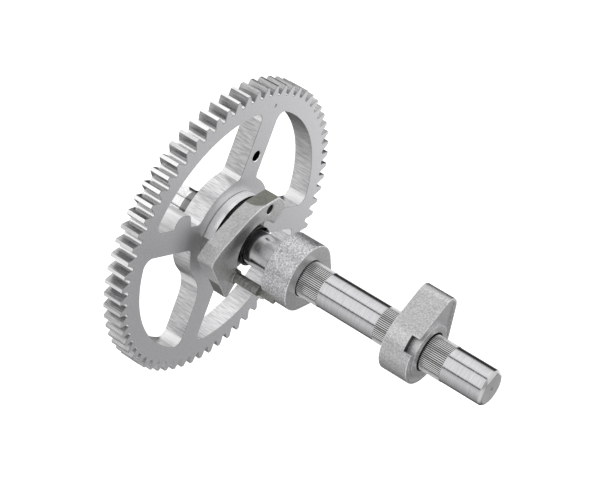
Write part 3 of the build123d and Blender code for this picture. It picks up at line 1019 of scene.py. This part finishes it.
def makePin():
    piece = newPiece("releasePin")
    px, py = pinPlace
    radius, edge, collar = pin["radius"], pin["edge"], pin["collar"]
    addCircle(radius - edge, pin["back"], px, py, pin["sides"])
    pull(edge, radius / (radius - edge), px, py)
    pull(pin["collarBack"] - pin["back"] - edge)
    pull(0, collar / radius, px, py)
    pull(pin["collarHeight"] - edge)
    pull(edge, (collar - edge) / collar, px, py)
    pull(0, radius / (collar - edge), px, py)
    pull(pin["tip"] - pin["collarBack"] - pin["collarHeight"] - edge)
    pull(edge, (radius - edge) / radius, px, py)
    closeRing()
    pickLevel(pin["back"])
    closeRing()
    # the flat that lets the valve close when the weight has swung out
    putDown()
    block, angle = pin["flatBlock"], gear["pinAngle"] - pin["swing"]
    dx, dy = polar(pin["flatOffset"] + block / 2, angle)
    bpy.ops.mesh.primitive_cube_add(
        size=block * mm, location=((px + dx) * mm, (py + dy) * mm, (pin["flatStart"] + block / 2) * mm),
        rotation=(0, 0, math.radians(angle)),
    )
    cut(piece, bpy.context.object)
    finishPiece(piece, pin["smoothAngle"])
    wear(piece, ("hardenedPinSteel",))
    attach(piece, "release")
    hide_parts("release_pin")


spring = {
    "wire": 0.65, "mean": 8.69, "start": 5.7, "pitch": 1.42, "turns": 6.12, "endAngle": 293.0,
    "wireSides": 14, "turnSteps": 40, "smoothAngle": 40,
}


def makeSpring():
    # the wire's section, wound up by a screw
    bpy.ops.object.select_all(action="DESELECT")
    bpy.ops.mesh.primitive_circle_add(
        vertices=spring["wireSides"], radius=spring["wire"] * mm, fill_type="NGON",
        location=(spring["mean"] * mm, 0, spring["start"] * mm), rotation=(math.radians(90), 0, 0),
    )
    piece = bpy.context.object
    piece.name = "returnSpring"
    piece.data.name = "returnSpring"
    bpy.ops.object.transform_apply(location=True, rotation=True, scale=True)
    piece.rotation_euler = (0, 0, math.radians(spring["endAngle"] - 360 * spring["turns"]))
    bpy.ops.object.transform_apply(location=False, rotation=True, scale=False)
    screw = piece.modifiers.new("coil", "SCREW")
    screw.axis = "Z"
    screw.angle = math.tau * spring["turns"]
    screw.screw_offset = spring["pitch"] * spring["turns"] * mm
    screw.steps = round(spring["turnSteps"] * spring["turns"])
    screw.render_steps = screw.steps
    bpy.ops.object.modifier_apply(modifier=screw.name)
    finishPiece(piece, spring["smoothAngle"])
    wear(piece, ("oilTemperedWire",))
    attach(piece, "shaft_assembly")
    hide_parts("return_spring")


makeFlyweight()
makePin()
makeSpring()
print("compression release made")


# Studio: pale floor, soft light from all sides and the photograph's camera

studio = {
    "floorDepth": 350.0, "floorSize": 6000.0, "floorGlow": 0.55,
    # matt white paper with a faint mottle, lit evenly
    "paper": {"greys": ("#f2f2f0", "#f8f8f6"), "roughness": 0.9, "marks": 40, "detail": 2, "metallic": 0.0},
    "lightPlace": (-215, -255, 150), "lightSize": (260, 200), "lightAim": (0, 0, 40), "lightPower": 0.175,
    "cameraAzimuth": 22.86,
    "cameraPlace": (703.053, 283.391, 384.406),
    "cameraRight": (-0.13648739, -0.61196224, 0.7790208),
    "cameraUp": (0.53304981, -0.70820026, -0.4629366),
    "cameraBack": (0.83500245, 0.35207188, 0.42286676),
    "lens": 120.332, "sensorWidth": 36.0, "clipStart": 10.0,
    # how bright the tent's panels are, by the angle from the camera's side: white in front with a thin
    # dark seam on either hand; beyond them white and then grey on the one hand, and light that falls
    # to dark on the other
    "panels": [
        (-180, 0.3), (-156, 0.4), (-147, 0.03), (-120, 0.03), (-113, 0.45), (-104, 0.98), (-60, 1.18),
        (-46, 1.1), (-42.5, 0.9), (-41, 0.02), (-35, 0.02), (-33, 1.06), (30.5, 1.1), (32, 0.02),
        (38.5, 0.02), (40.5, 0.7), (60, 0.84), (78, 0.72), (98, 0.56), (124, 0.38), (140, 0.2),
        (155, 0.05), (180, 0.05),
    ],
    # overhead the tent is white to both sides and a soft grey behind
    "roof": [
        (-180, 0.33), (-150, 0.33), (-125, 1.4), (-60, 1.4), (-35, 0.7), (35, 0.7), (60, 1.25),
        (120, 1.25), (150, 0.33), (180, 0.33),
    ],
    # the heights, on a sphere round the part, between which the panels pass into roof and paper
    "roofFrom": (0.05, 0.35), "paperFrom": (-0.6, -0.72), "paperLevel": 1.4,
}


def makeFloor():
    bpy.ops.object.select_all(action="DESELECT")
    bpy.ops.mesh.primitive_plane_add(
        size=studio["floorSize"] * mm, location=(0, 0, -studio["floorDepth"] * mm)
    )
    floor = bpy.context.object
    floor.name = "studioFloor"
    bpy.ops.object.transform_apply(location=True, rotation=True, scale=True)
    paper = makeFinish("paperFloor", studio["paper"])
    shader = paper.node_tree.nodes["Principled BSDF"]
    shader.inputs["Emission Color"].default_value = fromHex("#ffffff")
    shader.inputs["Emission Strength"].default_value = studio["floorGlow"]
    floor.data.materials.append(paper)
    floor.visible_glossy = False


def makeCamera():
    camera = bpy.data.objects.new("photoCamera", bpy.data.cameras.new("photoCamera"))
    bpy.context.scene.collection.objects.link(camera)
    axes = [Vector(studio[key]) for key in ("cameraRight", "cameraUp", "cameraBack")]
    place = Vector(studio["cameraPlace"]) * mm
    camera.matrix_world = Matrix([(*[axis[i] for axis in axes], place[i]) for i in range(3)] + [(0, 0, 0, 1)])
    camera.data.lens = studio["lens"]
    camera.data.sensor_width = studio["sensorWidth"]
    camera.data.sensor_fit = "HORIZONTAL"
    camera.data.clip_start = studio["clipStart"] * mm
    bpy.context.scene.camera = camera


def makeLight():
    # one soft box before the gear's face
    light = bpy.data.objects.new("faceBox", bpy.data.lights.new("faceBox", "AREA"))
    bpy.context.scene.collection.objects.link(light)
    light.data.shape = "RECTANGLE"
    light.data.size, light.data.size_y = [side * mm for side in studio["lightSize"]]
    light.data.energy = studio["lightPower"]
    light.location = [c * mm for c in studio["lightPlace"]]
    aim = Vector(studio["lightAim"]) - Vector(studio["lightPlace"])
    light.rotation_euler = aim.to_track_quat("-Z", "Y").to_euler()
    light.visible_camera = False


def makeWorld():
    world = bpy.data.worlds.new("studioTent")
    bpy.context.scene.world = world
    world.use_nodes = True
    tree = world.node_tree
    turn = addNode(tree, "ShaderNodeMapping", settings={"vector_type": "POINT"}, inputs={
        "Vector": addNode(tree, "ShaderNodeTexCoord").outputs["Generated"],
        "Rotation": (0, 0, -math.radians(studio["cameraAzimuth"])),
    })
    parts = addNode(tree, "ShaderNodeSeparateXYZ", inputs={"Vector": turn.outputs["Vector"]}).outputs
    bearing = addNode(
        tree, "ShaderNodeMath", settings={"operation": "ARCTAN2"}, inputs={0: parts["Y"], 1: parts["X"]},
    )
    share = addNode(tree, "ShaderNodeMapRange", inputs={
        "Value": bearing.outputs[0], "From Min": -math.pi, "From Max": math.pi,
    })
    walls, roof = [
        addNode(tree, "ShaderNodeValToRGB", inputs={"Fac": share.outputs[0]}, stops=[
            (angle / 360 + 0.5, (level, level, level, 1)) for angle, level in studio[key]
        ]).outputs["Color"] for key in ("panels", "roof")
    ]
    overhead, underneath = [
        addNode(tree, "ShaderNodeMapRange", inputs={
            "Value": parts["Z"], "From Min": studio[key][0], "From Max": studio[key][1],
        }).outputs["Result"] for key in ("roofFrom", "paperFrom")
    ]
    # over the walls come the roof, the white paper underneath, and the plain white that the camera sees
    seen = addNode(tree, "ShaderNodeLightPath").outputs["Is Camera Ray"]
    paper = (*[studio["paperLevel"]] * 3, 1)
    tent = walls
    for part, colour in ((overhead, roof), (underneath, paper), (seen, (1, 1, 1, 1))):
        tent = addNode(tree, "ShaderNodeMix", settings={"data_type": "RGBA"}, inputs={
            0: part, 6: tent, 7: colour,
        }).outputs[2]
    tree.links.new(tent, tree.nodes["Background"].inputs["Color"])
    tree.nodes["Background"].inputs["Strength"].default_value = 1.0


makeFloor()
makeCamera()
makeWorld()
makeLight()
bpy.context.scene.view_settings.view_transform = "Standard"
print("studio made")
